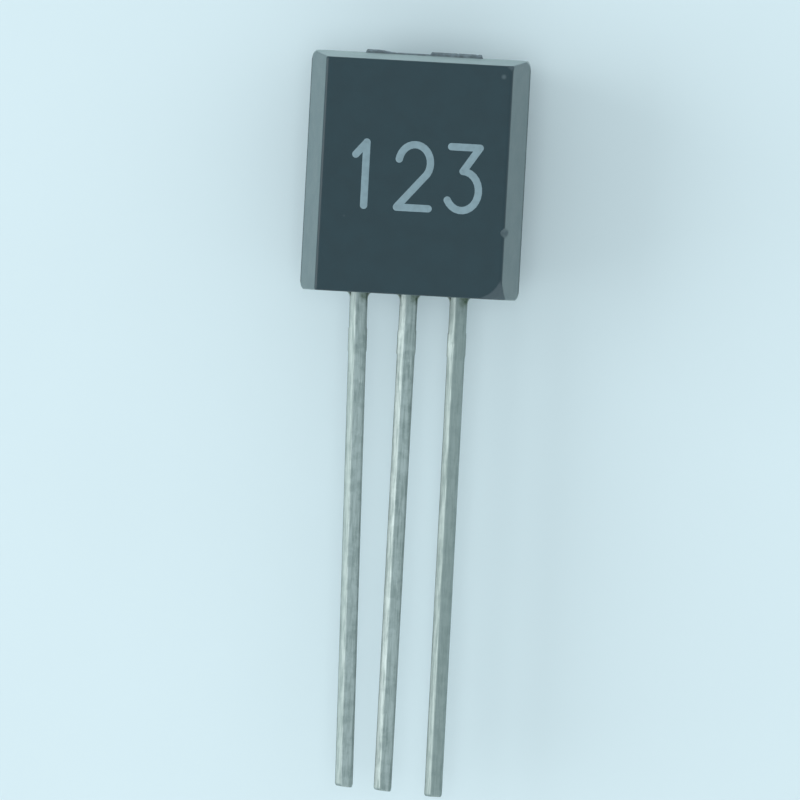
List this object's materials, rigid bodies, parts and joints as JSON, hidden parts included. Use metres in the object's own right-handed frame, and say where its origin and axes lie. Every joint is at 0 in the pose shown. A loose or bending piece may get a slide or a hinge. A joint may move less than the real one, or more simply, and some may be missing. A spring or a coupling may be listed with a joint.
{
  "type": "to-92 transistor",
  "caption": "Loose plastic transistor lying on its round back: flat-faced black moulded body with parallel tinned leads.",
  "frame": {"origin": "where the middle lead leaves the foot of the body, on the plane that halves the thickness of the leads", "axes": "+X across the row of leads from the left lead to the right one, +Y from the lead tips to the head of the body, +Z out of the flat face"},
  "size_m": [0.0056, 0.0189, 0.0043],
  "materials": {
    "moulded_body": "matte",
    "tinned_lead": "satin",
    "die_attach": "matte",
    "silicon": "polished",
    "bond_wire": "polished"
  },
  "bodies": {
    "root": {"moulded_body": "moulded_body", "left_lead": "tinned_lead", "middle_lead": "tinned_lead", "right_lead": "tinned_lead", "die_attach": "die_attach", "silicon_die": "silicon", "left_bond_wire": "bond_wire", "right_bond_wire": "bond_wire"}
  },
  "joints": []
}
